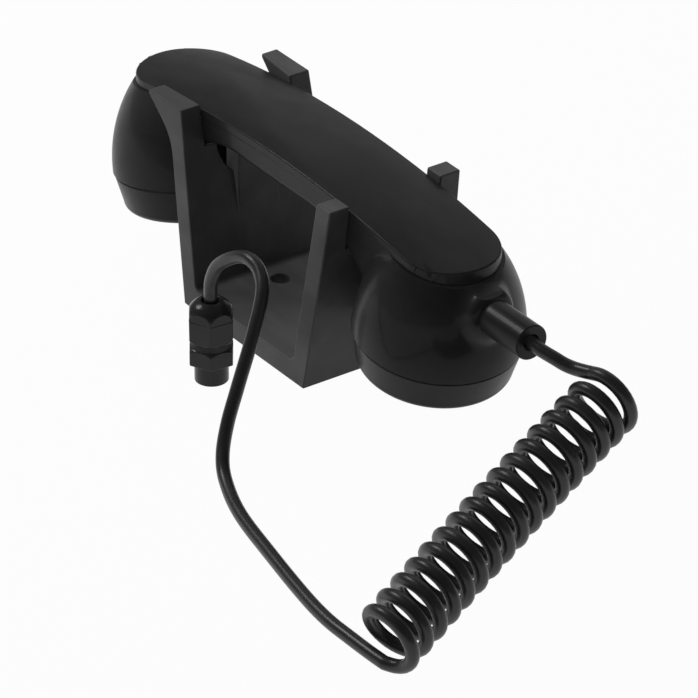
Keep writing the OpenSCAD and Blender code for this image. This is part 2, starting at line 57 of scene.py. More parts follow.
# Faces of a CAD mesh that meet at less than this are one face, in degrees
FLAT = 0.4
# Faces across a rounded corner
ROUNDING_STEPS = 3
# Faces round a turned piece
TURNING_STEPS = 96
# Times that a skin's points are drawn onto the true surface
SETTLING_ROUNDS = 4
BLACK = (0.0, 0.0, 0.0, 1.0)
WHITE = (1.0, 1.0, 1.0, 1.0)
Colour = tuple[float, float, float]
Pair = tuple[float, float]
Spot = tuple[float, float, float]
Inputs = dict[str | int, object]
Field = Callable[[np.ndarray], np.ndarray]


class Body(Enum):
    """The two bodies that pieces ride on."""

    CRADLE = "cradle"
    HANDSET = "handset"


class Slot(Enum):
    """Names of the record's material slots."""

    CRADLE = "cradle_plastic"
    HANDSET = "handset_plastic"
    CORD = "cord_rubber"
    GLAND = "gland_plastic"


class Cup(Enum):
    """The two cups of the handset, by the side of the middle that each is on."""

    EAR = -1
    MOUTH = 1


# Shader sheet


class Value:
    """A shader socket that joins in Python arithmetic and adds its Math nodes."""

    def __init__(self, sheet: "ShaderSheet", socket: bpy.types.NodeSocket) -> None:
        """Keeps the sheet and the socket."""
        self.sheet = sheet
        self.socket = socket

    def _math(self, operation: str, first: "Value | float", second: "Value | float") -> "Value":
        """Adds one Math node.

        Args:
            operation: The node's operation.
            first: Its first operand.
            second: Its second operand.

        Returns:
            The node's result.
        """
        return self.sheet.node("ShaderNodeMath", {"operation": operation}, {0: first, 1: second})

    def __add__(self, other: "Value | float") -> "Value":
        """Adds a value or number."""
        return self._math("ADD", self, other)

    def __radd__(self, other: float) -> "Value":
        """Adds to a number."""
        return self._math("ADD", other, self)

    def __sub__(self, other: "Value | float") -> "Value":
        """Takes a value or number away."""
        return self._math("SUBTRACT", self, other)

    def __rsub__(self, other: float) -> "Value":
        """Takes this away from a number."""
        return self._math("SUBTRACT", other, self)

    def __mul__(self, other: "Value | float") -> "Value":
        """Multiplies by a value or number."""
        return self._math("MULTIPLY", self, other)

    def __rmul__(self, other: float) -> "Value":
        """Multiplies a number."""
        return self._math("MULTIPLY", other, self)

    def ramp(self, low: float, high: float, start: float = 0.0, end: float = 1.0) -> "Value":
        """Eases from one number to another as the value crosses a span.

        Args:
            low: Where the span starts.
            high: Where it ends.
            start: The result at its start.
            end: The result at its end.

        Returns:
            The eased value.
        """
        return self.sheet.node(
            "ShaderNodeMapRange",
            {"interpolation_type": "SMOOTHSTEP"},
            {0: self, 1: low, 2: high, 3: start, 4: end},
        )


class ShaderSheet:
    """The node sheet of a material or the world."""

    def __init__(self, tree: bpy.types.NodeTree) -> None:
        """Takes over a node tree and empties it."""
        self.tree = tree
        self.tree.nodes.clear()

    def node(
        self,
        kind: str,
        settings: dict[str, object] | None = None,
        inputs: Inputs | None = None,
        output: str | int = 0,
    ) -> Value:
        """Adds any node.

        Args:
            kind: Blender's name of the node's type.
            settings: Its own settings, which are set first.
            inputs: Values or links for its sockets, by name or number.
            output: The socket to hand back.

        Returns:
            The chosen output.
        """
        item = self.tree.nodes.new(kind)
        for key, value in (settings or {}).items():
            setattr(item, key, value)
        for key, value in (inputs or {}).items():
            socket = item.inputs[key]
            if isinstance(value, Value):
                self.tree.links.new(value.socket, socket)
            else:
                socket.default_value = value
        outlet = item.outputs[output] if len(item.outputs) else None
        return Value(self, outlet)

    def place(self) -> Value:
        """The point on the piece, in metres."""
        return self.node("ShaderNodeTexCoord", output="Object")

    def noise(self, place: Value, size: float, detail: float = 2.0, rough: float = 0.5) -> Value:
        """Soft noise.

        Args:
            place: Where on the piece.
            size: Size of its blotches in metres.
            detail: How many finer layers it has.
            rough: How strong the finer layers are.

        Returns:
            A value from 0 to 1.
        """
        return self.node(
            "ShaderNodeTexNoise",
            {},
            {"Vector": place, "Scale": 1.0 / size, "Detail": detail, "Roughness": rough},
        )

    def stretched(self, place: Value, scale: Colour) -> Value:
        """The place scaled along each axis."""
        return self.node("ShaderNodeVectorMath", {"operation": "MULTIPLY"}, {0: place, 1: scale})

    def mix(self, share: "Value | float", first: "Value | Colour", second: "Value | Colour") -> Value:
        """Mixes two colours.

        Args:
            share: How much of the second.
            first: The first colour.
            second: The second colour.

        Returns:
            The mixed colour.
        """
        a, b = (c if isinstance(c, Value) else (*c, 1.0) for c in (first, second))
        return self.node("ShaderNodeMix", {"data_type": "RGBA"}, {0: share, 6: a, 7: b}, 2)

    def edges(self, radius: float) -> Value:
        """How near a point is to a corner.

        Args:
            radius: How far from the corner it reaches, in metres.

        Returns:
            From 0 on the flat to 1 on the corner.
        """
        soft = self.node("ShaderNodeBevel", {"samples": 4}, {"Radius": radius})
        true = self.node("ShaderNodeNewGeometry", output="Normal")
        near = self.node("ShaderNodeVectorMath", {"operation": "DOT_PRODUCT"}, {0: soft, 1: true}, "Value")
        flat, sharp = 0.015, 0.2
        return (1.0 - near).ramp(flat, sharp)

    def bump(self, height: Value, depth: float) -> Value:
        """A Bump node.

        Args:
            height: The relief, from 0 to 1.
            depth: Its depth in metres.

        Returns:
            The changed normal.
        """
        return self.node("ShaderNodeBump", {}, {"Strength": 1.0, "Distance": depth, "Height": height})

    def surface(self, inputs: Inputs) -> None:
        """Ends the sheet in the main shader.

        Args:
            inputs: Values or links for the shader's sockets.
        """
        shader = self.node("ShaderNodeBsdfPrincipled", {}, inputs)
        self.node("ShaderNodeOutputMaterial", {}, {"Surface": shader})


def new_material(name: str) -> tuple[bpy.types.Material, ShaderSheet]:
    """Makes an empty node material.

    Args:
        name: The material's name.

    Returns:
        The material and its sheet.
    """
    material = bpy.data.materials.new(name)
    material.use_nodes = True
    return material, ShaderSheet(material.node_tree)


# Finishes


@dataclass(frozen=True)
class Finish:
    """A finish that builds its own material.

    Attributes:
        name: The material's name.
    """

    name: str

    def inputs(self, sheet: ShaderSheet, place: Value) -> Inputs:
        """The main shader's inputs.

        Args:
            sheet: The sheet to add nodes to.
            place: The point on the piece.

        Returns:
            Values or links for the shader's sockets, by name.
        """
        raise NotImplementedError

    def material(self) -> bpy.types.Material:
        """Builds the material."""
        material, sheet = new_material(self.name)
        sheet.surface(self.inputs(sheet, sheet.place()))
        return material


@dataclass(frozen=True)
class MouldedPlastic(Finish):
    """Moulded plastic with a fine grain, faint flow marks, a handled sheen and rubbed corners.

    Attributes:
        colour: Its plain colour.
        rubbed: Its colour on rubbed corners and specks.
        gloss: Its roughness where it is handled.
        dull: Its roughness elsewhere.
        grain: Size of the grain in metres.
        depth: Depth of the grain in metres.
        corner: How far the rubbing reaches from a corner, in metres.
        specular: Strength of its reflection.
        lacquer: Weight of the clear coat over it.
        lacquer_rough: Roughness of the clear coat.
        flow: Size of the flow marks in metres.
        touch: Size of the handled patches in metres.
        speck: Size of the specks in metres.
    """

    colour: Colour
    rubbed: Colour
    gloss: float
    dull: float
    grain: float
    depth: float
    corner: float = 0.0009
    specular: float = 0.5
    lacquer: float = 0.0
    lacquer_rough: float = 0.09
    flow: float = 0.016
    touch: float = 0.009
    speck: float = 0.0011

    def inputs(self, sheet: ShaderSheet, place: Value) -> Inputs:
        """The main shader's inputs."""
        grain = sheet.noise(place, self.grain, 3.0, 0.6)
        flow = sheet.noise(sheet.stretched(place, (0.35, 1.0, 1.0)), self.flow, 3.0)
        touch = sheet.noise(place, self.touch, 5.0, 0.62)
        speck = sheet.noise(place, self.speck, 2.0).ramp(0.66, 0.76)
        rubbed = sheet.edges(self.corner) * touch.ramp(0.34, 0.62)
        lifted = tuple(1.5 * c + 0.002 for c in self.colour)
        colour = sheet.mix(flow.ramp(0.3, 0.75), self.colour, lifted)
        colour = sheet.mix(rubbed * 0.55 + speck * 0.12, colour, self.rubbed)
        span = self.dull - self.gloss
        rough = self.gloss + span * touch.ramp(0.3, 0.7) * 0.7 + span * grain * 0.3 - rubbed * 0.06
        return {
            "Base Color": colour,
            "Roughness": rough,
            "Specular IOR Level": self.specular,
            "Coat Weight": self.lacquer,
            "Coat Roughness": self.lacquer_rough,
            "Normal": sheet.bump(grain * 0.8 + flow * 0.2, self.depth),
        }


@dataclass(frozen=True)
class CordJacket(Finish):
    """Extruded jacket of the cord: satin, with soft dips, dust and a dry bloom.

    Attributes:
        colour: Its plain colour.
        bloom: Its colour under dust and bloom.
        gloss: Its least roughness.
        dull: Its most roughness.
        specular: Strength of its reflection.
        patch: Size of the dips and bloom in metres.
        dust: Size of the dust in metres.
        depth: Depth of the dips in metres.
    """

    colour: Colour
    bloom: Colour
    gloss: float
    dull: float
    specular: float = 0.5
    patch: float = 0.014
    dust: float = 0.0016
    depth: float = 0.00002

    def inputs(self, sheet: ShaderSheet, place: Value) -> Inputs:
        """The main shader's inputs."""
        patch = sheet.noise(place, self.patch, 4.0, 0.6)
        dust = sheet.noise(place, self.dust, 2.0).ramp(0.62, 0.78)
        colour = sheet.mix(patch.ramp(0.42, 0.8) * 0.35 + dust * 0.14, self.colour, self.bloom)
        rough = self.gloss + (self.dull - self.gloss) * patch.ramp(0.3, 0.75)
        return {
            "Base Color": colour,
            "Roughness": rough,
            "Specular IOR Level": self.specular,
            "Normal": sheet.bump(patch, self.depth),
        }


@dataclass(frozen=True)
class SoftRubber(Finish):
    """Matt sealing rubber with talc in its pores.

    Attributes:
        colour: Its plain colour.
        talc: Its colour under talc.
        pore: Size of the pores in metres.
        patch: Size of the talc's patches in metres.
        depth: Depth of the pores in metres.
    """

    colour: Colour
    talc: Colour
    pore: float = 0.0005
    patch: float = 0.006
    depth: float = 0.00006

    def inputs(self, sheet: ShaderSheet, place: Value) -> Inputs:
        """The main shader's inputs."""
        pores = sheet.noise(place, self.pore, 4.0, 0.7)
        patch = sheet.noise(place, self.patch, 3.0)
        talc = pores.ramp(0.55, 0.75) * 0.3 + patch.ramp(0.5, 0.8) * 0.12
        colour = sheet.mix(talc, self.colour, self.talc)
        return {
            "Base Color": colour,
            "Roughness": 0.62 + patch * 0.2,
            "Normal": sheet.bump(pores, self.depth),
        }


@dataclass(frozen=True)
class TurnedMetal(Finish):
    """Bright metal with turning lines about an axis and a dull film.

    Attributes:
        colour: Its bright colour.
        film: Its colour under the film.
        pitch: Distance between the turning lines in metres.
        gloss: Its least roughness.
        patch: Size of the film's patches in metres.
        depth: Depth of the turning lines in metres.
    """

    colour: Colour
    film: Colour
    pitch: float
    gloss: float
    patch: float = 0.004
    depth: float = 0.00002

    def inputs(self, sheet: ShaderSheet, place: Value) -> Inputs:
        """The main shader's inputs."""
        lines = sheet.node(
            "ShaderNodeTexWave",
            {"wave_type": "RINGS", "rings_direction": "Z"},
            {"Vector": place, "Scale": 0.3 / self.pitch, "Distortion": 0.6, "Detail": 2.0},
            "Fac",
        )
        patch = sheet.noise(place, self.patch, 4.0, 0.6)
        colour = sheet.mix(patch.ramp(0.45, 0.8) * 0.5, self.colour, self.film)
        return {
            "Base Color": colour,
            "Metallic": 1.0 - patch.ramp(0.6, 0.85) * 0.25,
            "Roughness": self.gloss + patch * 0.16 + lines * 0.06,
            "Normal": sheet.bump(lines, self.depth),
        }


@dataclass(frozen=True)
class WovenCloth(Finish):
    """Open plain-woven sound cloth.

    Attributes:
        thread: The threads' colour.
        gap: The colour between them.
        pitch: Distance between the threads in metres.
        fuzz: Size of the fuzz in metres.
        depth: Depth of the weave in metres.
    """

    thread: Colour
    gap: Colour
    pitch: float
    fuzz: float = 0.0004
    depth: float = 0.00018

    def inputs(self, sheet: ShaderSheet, place: Value) -> Inputs:
        """The main shader's inputs."""
        bands = [
            sheet.node(
                "ShaderNodeTexWave",
                {"wave_type": "BANDS", "bands_direction": way},
                {"Vector": place, "Scale": 0.314 / self.pitch, "Distortion": 0.25},
                "Fac",
            )
            for way in ("X", "Y")
        ]
        weave = bands[0] * bands[1]
        fuzz = sheet.noise(place, self.fuzz, 3.0, 0.7)
        colour = sheet.mix(weave.ramp(0.1, 0.5) * 0.8 + fuzz * 0.2, self.gap, self.thread)
        return {
            "Base Color": colour,
            "Roughness": 0.8 + fuzz * 0.15,
            "Normal": sheet.bump(weave * 0.8 + fuzz * 0.2, self.depth),
        }


@dataclass(frozen=True)
class BoardLaminate(Finish):
    """Varnished circuit board with raised tracks and a woven glass base.

    Attributes:
        varnish: The varnish's colour.
        track: The tracks' colour.
        pitch: Distance between the tracks in metres.
        glass: Size of the glass weave in metres.
        depth: Height of the tracks in metres.
    """

    varnish: Colour
    track: Colour
    pitch: float
    glass: float = 0.0007
    depth: float = 0.00004

    def inputs(self, sheet: ShaderSheet, place: Value) -> Inputs:
        """The main shader's inputs."""
        tracks = sheet.node(
            "ShaderNodeTexBrick",
            {"offset": 0.37, "squash": 1.6},
            {
                "Vector": place,
                "Color1": BLACK,
                "Color2": BLACK,
                "Mortar": WHITE,
                "Scale": 0.25 / self.pitch,
                "Mortar Size": 0.035,
                "Mortar Smooth": 0.2,
            },
            "Fac",
        )
        glass = sheet.noise(place, self.glass, 3.0, 0.6)
        colour = sheet.mix(tracks * 0.7 + glass * 0.15, self.varnish, self.track)
        return {
            "Base Color": colour,
            "Roughness": 0.28 + glass * 0.18,
            "Normal": sheet.bump(tracks * 0.8 + glass * 0.2, self.depth),
        }


HANDSET_BLACK = MouldedPlastic(
    name="handset_black",
    colour=(0.014, 0.014, 0.0143),
    rubbed=(0.03, 0.03, 0.0305),
    gloss=0.33, dull=0.41, grain=0.00045, depth=0.000006, specular=0.10, lacquer=0.09,
)
CRADLE_CHARCOAL = MouldedPlastic(
    name="cradle_charcoal",
    colour=(0.052, 0.052, 0.053),
    rubbed=(0.095, 0.095, 0.097),
    gloss=0.44, dull=0.54, grain=0.00055, depth=0.000014, corner=0.0012, specular=0.18, lacquer=0.05,
)
GLAND_NYLON = MouldedPlastic(
    name="gland_nylon",
    colour=(0.013, 0.013, 0.0132),
    rubbed=(0.03, 0.03, 0.03),
    gloss=0.16, dull=0.24, grain=0.0004, depth=0.000005, corner=0.0007, specular=0.24,
)
BOOT_BLACK = MouldedPlastic(
    name="boot_black",
    colour=(0.008, 0.008, 0.0082),
    rubbed=(0.022, 0.022, 0.022),
    gloss=0.36, dull=0.44, grain=0.0005, depth=0.000008, corner=0.0006, specular=0.18, lacquer=0.06,
)
HOLDER_GREY = MouldedPlastic(
    name="holder_grey",
    colour=(0.08, 0.08, 0.082),
    rubbed=(0.16, 0.16, 0.16),
    gloss=0.42, dull=0.6, grain=0.0006, depth=0.00003,
)
REED_BLACK = MouldedPlastic(
    name="reed_black",
    colour=(0.03, 0.03, 0.03),
    rubbed=(0.09, 0.09, 0.09),
    gloss=0.45, dull=0.62, grain=0.0003, depth=0.00003, corner=0.0003,
)
CORD_BLACK = CordJacket(
    name="cord_black",
    colour=(0.014, 0.014, 0.0143),
    bloom=(0.028, 0.028, 0.0285),
    gloss=0.32, dull=0.40, specular=0.42,
)
SEAL_BLACK = SoftRubber(name="seal_black", colour=(0.004, 0.004, 0.004), talc=(0.02, 0.02, 0.02))
INSERT_BLACK = SoftRubber(name="insert_black", colour=(0.006, 0.006, 0.006), talc=(0.03, 0.03, 0.03))
MAGNET_STEEL = TurnedMetal(
    name="magnet_steel", colour=(0.55, 0.55, 0.57), film=(0.3, 0.3, 0.3), pitch=0.0003, gloss=0.24
)
CAPSULE_ALLOY = TurnedMetal(
    name="capsule_alloy", colour=(0.62, 0.62, 0.63), film=(0.4, 0.4, 0.41), pitch=0.0006, gloss=0.3
)
SOUND_CLOTH = WovenCloth(
    name="sound_cloth_black", thread=(0.035, 0.035, 0.036), gap=(0.006, 0.006, 0.006), pitch=0.0006
)
BOARD_GREEN = BoardLaminate(
    name="board_green", varnish=(0.02, 0.13, 0.06), track=(0.05, 0.26, 0.11), pitch=0.0016
)


# Mesh tools


def new_piece(name: str, points: np.ndarray, faces: Sequence[Sequence[int]]) -> bpy.types.Object:
    """Makes a mesh object.

    Args:
        name: The piece's name.
        points: Its points in millimetres.
        faces: Its faces as lists of point numbers.

    Returns:
        The object, linked to the scene.
    """
    data = bpy.data.meshes.new(name)
    data.from_pydata((np.asarray(points, float) * MM).tolist(), [], [list(map(int, f)) for f in faces])
    data.validate()
    piece = bpy.data.objects.new(name, data)
    bpy.context.scene.collection.objects.link(piece)
    return piece


def even_shading(piece: bpy.types.Object, corner: float, weighted: bool = False) -> None:
    """Shades a piece smooth between its corners.

    Args:
        piece: The piece.
        corner: The least angle of a corner that stays sharp, in degrees.
        weighted: Whether large faces set the shading of their edges.
    """
    piece.data.polygons.foreach_set("use_smooth", [True] * len(piece.data.polygons))
    piece.data.set_sharp_from_angle(angle=math.radians(corner))
    if weighted:
        modifier = piece.modifiers.new("even", "WEIGHTED_NORMAL")
        modifier.keep_sharp = True
        bake_modifiers(piece)


def bake_modifiers(piece: bpy.types.Object) -> None:
    """Replaces a piece's mesh by what its modifiers make of it."""
    view = bpy.context.evaluated_depsgraph_get()
    made = bpy.data.meshes.new_from_object(piece.evaluated_get(view))
    piece.modifiers.clear()
    piece.data = made


def dress(piece: bpy.types.Object, material: bpy.types.Material) -> None:
    """Gives a piece one material."""
    piece.data.materials.clear()
    piece.data.materials.append(material)


def has_room(edge: bmesh.types.BMEdge, least: float = 20.0) -> bool:
    """Whether the faces beside an edge leave room to round it.

    Args:
        edge: The edge.
        least: The least angle that a face may have at the edge's ends, in degrees.

    Returns:
        False where a face runs out to a thin point along the edge.
    """
    ends = [end for loop in edge.link_loops for end in (loop, loop.link_loop_next)]
    return min(end.calc_angle() for end in ends) > math.radians(least)


def rounded_copy(node: str, name: str, radius: float, corner: float = 28.0) -> bpy.types.Object:
    """Copies a CAD node with its outer corners rounded.

    Args:
        node: The node to copy.
        name: The new piece's name.
        radius: Radius of the rounding in millimetres.
        corner: The least angle that is rounded, in degrees.

    Returns:
        The new piece.
    """
    shape = bmesh.new()
    shape.from_mesh(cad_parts[node].data)
    bmesh.ops.remove_doubles(shape, verts=shape.verts, dist=WELD)
    bmesh.ops.dissolve_limit(shape, angle_limit=math.radians(FLAT), verts=shape.verts, edges=shape.edges)
    least = math.radians(corner)
    outer = [edge for edge in shape.edges if edge.is_convex and edge.calc_face_angle(0.0) > least]
    sharp = [edge for edge in outer if has_room(edge)]
    bmesh.ops.bevel(
        shape,
        geom=sharp,
        offset=radius * MM,
        offset_type="OFFSET",
        segments=ROUNDING_STEPS,
        profile=0.5,
        affect="EDGES",
        clamp_overlap=False,
    )
    data = bpy.data.meshes.new(name)
    shape.to_mesh(data)
    shape.free()
    piece = bpy.data.objects.new(name, data)
    bpy.context.scene.collection.objects.link(piece)
    even_shading(piece, corner=40.0, weighted=True)
    return piece


def turned(name: str, outline: Sequence[Pair], place: Matrix) -> bpy.types.Object:
    """Turns a closed outline about an axis.

    Args:
        name: The piece's name.
        outline: Radius and height of each point in millimetres, the ends on the axis.
        place: Where the axis is, in millimetres.

    Returns:
        The turned piece.
    """
    steps = TURNING_STEPS
    inner = outline[1:-1]
    points = [place @ Vector((0, 0, outline[0][1])), place @ Vector((0, 0, outline[-1][1]))]
    for k in range(steps):
        turn = 2 * math.pi * k / steps
        points += [place @ Vector((r * math.cos(turn), r * math.sin(turn), h)) for r, h in inner]
    count = len(inner)
    faces = []
    for k in range(steps):
        a, b = 2 + k * count, 2 + (k + 1) % steps * count
        faces.append((0, b, a))
        faces.append((1, a + count - 1, b + count - 1))
        faces += [(a + i, b + i, b + i + 1, a + i + 1) for i in range(count - 1)]
    return new_piece(name, np.array([tuple(p) for p in points]), faces)


def cut_away(piece: bpy.types.Object, cutter: bpy.types.Object) -> None:
    """Takes a cutter's space out of a piece, then drops the cutter.

    Args:
        piece: The piece to cut.
        cutter: The closed shape to take away.
    """
    modifier = piece.modifiers.new("cut", "BOOLEAN")
    modifier.operation = "DIFFERENCE"
    modifier.solver = "EXACT"
    modifier.object = cutter
    bake_modifiers(piece)
    bpy.data.objects.remove(cutter)


def surface_net(shape: Field, low: Spot, high: Spot, step: float) -> tuple[np.ndarray, np.ndarray]:
    """Skins the zero surface of a distance field with square faces.

    Args:
        shape: The field, negative inside, for an array of points.
        low: Lowest corner of the space to skin.
        high: Highest corner.
        step: Size of the faces.

    Returns:
        The points and the faces.
    """
    axes = [np.arange(a, b + step, step) for a, b in zip(low, high)]
    grid = np.stack(np.meshgrid(*axes, indexing="ij"), -1)
    depth = shape(grid.reshape(-1, 3)).reshape(grid.shape[:3])
    inside = depth < 0
    size = np.array(depth.shape) - 1

    def corner(values: np.ndarray, c: Sequence[int]) -> np.ndarray:
        """The values at one corner of every cell."""
        return values[c[0] : c[0] + size[0], c[1] : c[1] + size[1], c[2] : c[2] + size[2]]

    corners = [(i, j, k) for i in (0, 1) for j in (0, 1) for k in (0, 1)]
    full = sum(corner(inside, c).astype(np.int8) for c in corners)
    mixed = (full > 0) & (full < 8)
    number = -np.ones(size, int)
    number[mixed] = np.arange(int(mixed.sum()))
    total = np.zeros((int(mixed.sum()), 3))
    count = np.zeros(int(mixed.sum()))
    for c in corners:
        for axis in range(3):
            if c[axis] == 0:
                d = list(c)
                d[axis] = 1
                a, b = corner(depth, c)[mixed], corner(depth, d)[mixed]
                cross = (a < 0) != (b < 0)
                share = np.where(cross, a / np.where(cross, a - b, 1.0), 0.0)
                spot = np.tile(np.array(c, float), (len(a), 1))
                spot[:, axis] = share
                total[cross] += spot[cross]
                count[cross] += 1
    cells = np.argwhere(mixed)
    points = (cells + total / count[:, None]) * step + np.array([a[0] for a in axes])
    faces = []
    for axis in range(3):
        u, v = [k for k in range(3) if k != axis]
        first = np.take(inside, range(size[axis]), axis)
        second = np.take(inside, range(1, size[axis] + 1), axis)
        edge = np.argwhere(first != second)
        edge = edge[(edge[:, u] > 0) & (edge[:, v] > 0) & (edge[:, u] < size[u]) & (edge[:, v] < size[v])]
        ring = []
        for du, dv in ((-1, -1), (0, -1), (0, 0), (-1, 0)):
            cell = edge.copy()
            cell[:, u] += du
            cell[:, v] += dv
            ring.append(number[tuple(cell.T)])
        quad = np.stack(ring, 1)
        turn = first[tuple(edge.T)] == (axis == 1)
        quad[turn] = quad[turn][:, ::-1]
        faces.append(quad)
    probe, flattest, furthest = 0.02, 0.25, 0.4 * step
    ways = probe * np.eye(3)
    for _ in range(SETTLING_ROUNDS):
        here = shape(points)
        slope = np.stack([(shape(points + way) - shape(points - way)) / (2 * probe) for way in ways], 1)
        steep = np.maximum((slope**2).sum(1), flattest)
        points = points - np.clip(here / steep, -furthest, furthest)[:, None] * slope
    return points, np.concatenate(faces)


def joined(first: np.ndarray, second: np.ndarray, radius: float) -> np.ndarray:
    """Two fields as one shape with a fillet of a radius between them."""
    pull = np.hypot(np.maximum(radius - first, 0.0), np.maximum(radius - second, 0.0))
    return np.maximum(radius, np.minimum(first, second)) - pull


def crossed(first: np.ndarray, second: np.ndarray, radius: float) -> np.ndarray:
    """What two fields share, with its corner rounded to a radius."""
    return -joined(-first, -second, radius)


# The handset


@dataclass
class Handset:
    """The handset's shell, back cover, screw caps, boot and what is inside them.

    All lengths are in millimetres and most repeat the values of the part's source. Skin_low and
    skin_high are corners of the space that the shell's skin is made in, and clear is how far the
    cutters reach past the shell.
    """

    cup_x: float = 74.0
    cup_z: float = 31.2
    cup_r: float = 30.0
    cup_tilt: float = 10.0
    dome_r: float = 54.2
    wall: float = 2.6
    hollow: float = 30.0
    spigot: float = 25.2
    spigot_len: float = 7.0
    handle_w: float = 36.0
    under_x: float = 22.0
    under_z: float = 62.5
    under_r: float = 43.0
    arch_r: float = 490.0
    arch_z: float = 73.2
    cover_t: float = 3.4
    boot_z: float = 50.8
    boot_r: float = 6.4
    boot_seat: float = 92.0
    boss_r: float = 9.5
    boss_end: float = 106.0
    boss_round: float = 3.5
    channel: Spot = (48.0, 11.0, 64.3)
    top: float = 74.0
    skirt: float = 9.0
    handle_round: float = 1.0
    end_round: float = 0.5
    neck_fillet: float = 1.6
    boss_fillet: float = 3.2
    cover_round: float = 0.55
    cap_round: float = 0.4
    boot_round: float = 0.45
    face: float = 0.9
    skin_low: Spot = (-109.0, -33.5, 18.0)
    skin_high: Spot = (110.0, 33.5, 76.0)
    clear: float = 50.0
    wall_steps: int = 14
    arch_half: float = 15.0
    arch_steps: int = 180

    def cup_place(self, cup: Cup) -> Matrix:
        """Where a cup's parting circle is, in millimetres."""
        turn = Matrix.Rotation(math.radians(cup.value * self.cup_tilt), 4, "Y")
        return Matrix.Translation((cup.value * self.cup_x, 0, self.cup_z)) @ turn

    def field(self, points: np.ndarray) -> np.ndarray:
        """The shell's outside as a distance field.

        Args:
            points: Points in millimetres.

        Returns:
            The distance of each, negative inside.
        """
        x, y, z = points.T
        beside = np.maximum(abs(x) - self.under_x, 0.0)
        below = self.under_r - np.hypot(beside, z - self.under_z + self.under_r)
        shape = crossed(abs(y) - self.handle_w / 2, below, self.handle_round)
        shape = crossed(shape, abs(x) - self.cup_x, self.end_round)
        for cup in Cup:
            back = np.array(self.cup_place(cup).inverted())
            local = points @ back[:3, :3].T + back[:3, 3]
            across = np.hypot(local[:, 0], local[:, 1])
            dome = np.hypot(across + self.dome_r - self.cup_r, local[:, 2]) - self.dome_r
            shape = joined(shape, np.maximum(dome, -self.skirt - local[:, 2]), self.neck_fillet)
        boss = crossed(np.hypot(y, z - self.boot_z) - self.boss_r, x - self.boss_end, self.boss_round)
        shape = joined(shape, np.maximum(boss, self.boot_seat - x), self.boss_fillet)
        return np.maximum(shape, z - self.top)

    def hollow_outline(self) -> list[Pair]:
        """Outline of what is cut from a cup: below its parting line and inside its wall."""
        centre = self.cup_r - self.dome_r
        inner = self.dome_r - self.wall
        bore = self.spigot - self.wall
        low, wide = -20.0, self.cup_r + 12.0
        outline = [(0.0, low), (wide, low), (wide, 0.0), (self.spigot, 0.0)]
        outline += [(self.spigot, -self.spigot_len), (bore, -self.spigot_len), (bore, self.wall)]
        for h in np.linspace(self.wall, self.hollow, self.wall_steps):
            outline.append((centre + math.sqrt(inner * inner - h * h), float(h)))
        return outline + [(0.0, self.hollow)]

    def arch_cutter(self) -> bpy.types.Object:
        """The space above the arched face that the back cover lies on."""
        reach = self.arch_r - self.cover_t
        turns = np.radians(np.linspace(-self.arch_half, self.arch_half, self.arch_steps + 1))
        arc = [(reach * math.sin(a), self.arch_z - self.arch_r + reach * math.cos(a)) for a in turns]
        above = self.top + self.clear
        outline = arc + [(arc[-1][0], above), (arc[0][0], above)]
        count = len(outline)
        points = [(x, y, z) for y in (-self.clear, self.clear) for x, z in outline]
        faces = [tuple(range(count)), tuple(range(2 * count - 1, count - 1, -1))]
        faces += [(k, k + count, (k + 1) % count + count, (k + 1) % count) for k in range(count)]
        return new_piece("arch_cut", np.array(points), faces)

    def build_shell(self) -> bpy.types.Object:
        """Skins the shell and cuts its arched face, cups, wiring channel and boot hole."""
        points, faces = surface_net(self.field, self.skin_low, self.skin_high, self.face)
        shell = new_piece("shell", points, faces)
        cut_away(shell, self.arch_cutter())
        for cup in Cup:
            cut_away(shell, turned("cup_cut", self.hollow_outline(), self.cup_place(cup)))
        length, half, floor = self.channel
        levels = (floor, self.top + self.clear)
        corners = [(a * length, b * half, c) for a in (-1, 1) for b in (-1, 1) for c in levels]
        sides = [(0, 1, 3, 2), (4, 6, 7, 5), (0, 4, 5, 1), (2, 3, 7, 6), (0, 2, 6, 4), (1, 5, 7, 3)]
        cut_away(shell, new_piece("channel_cut", np.array(corners), sides))
        behind, beyond = 1.0, 6.0
        seat = Matrix.Translation((self.boot_seat - behind, 0, self.boot_z))
        along = seat @ Matrix.Rotation(math.pi / 2, 4, "Y")
        reach = self.boss_end + beyond - self.boot_seat
        bore = [(0.0, 0.0), (self.boot_r, 0.0), (self.boot_r, reach), (0.0, reach)]
        cut_away(shell, turned("boot_cut", bore, along))
        even_shading(shell, corner=34.0)
        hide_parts("handset_body")
        return shell

    def build(self) -> None:
        """Builds, dresses and rides every outside piece of the handset."""
        black = HANDSET_BLACK.material()
        shell = self.build_shell()
        cover = rounded_copy("back_cover", "cover", self.cover_round)
        ear = rounded_copy("ear_cap", "ear_screw_cap", self.cap_round)
        mouth = rounded_copy("mouth_cap", "mouth_screw_cap", self.cap_round)
        boot = rounded_copy("cord_boot", "boot", self.boot_round)
        copies = {"back_cover": cover, "ear_cap": ear, "mouth_cap": mouth, "cord_boot": boot}
        for node, piece in copies.items():
            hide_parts(node)
        for piece in (shell, cover, ear, mouth):
            dress(piece, black)
        dress(boot, BOOT_BLACK.material())
        for piece in (shell, cover, ear, mouth, boot):
            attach(piece, Body.HANDSET.value)
            LOG.info("handset piece %s: %d faces", piece.name, len(piece.data.polygons))

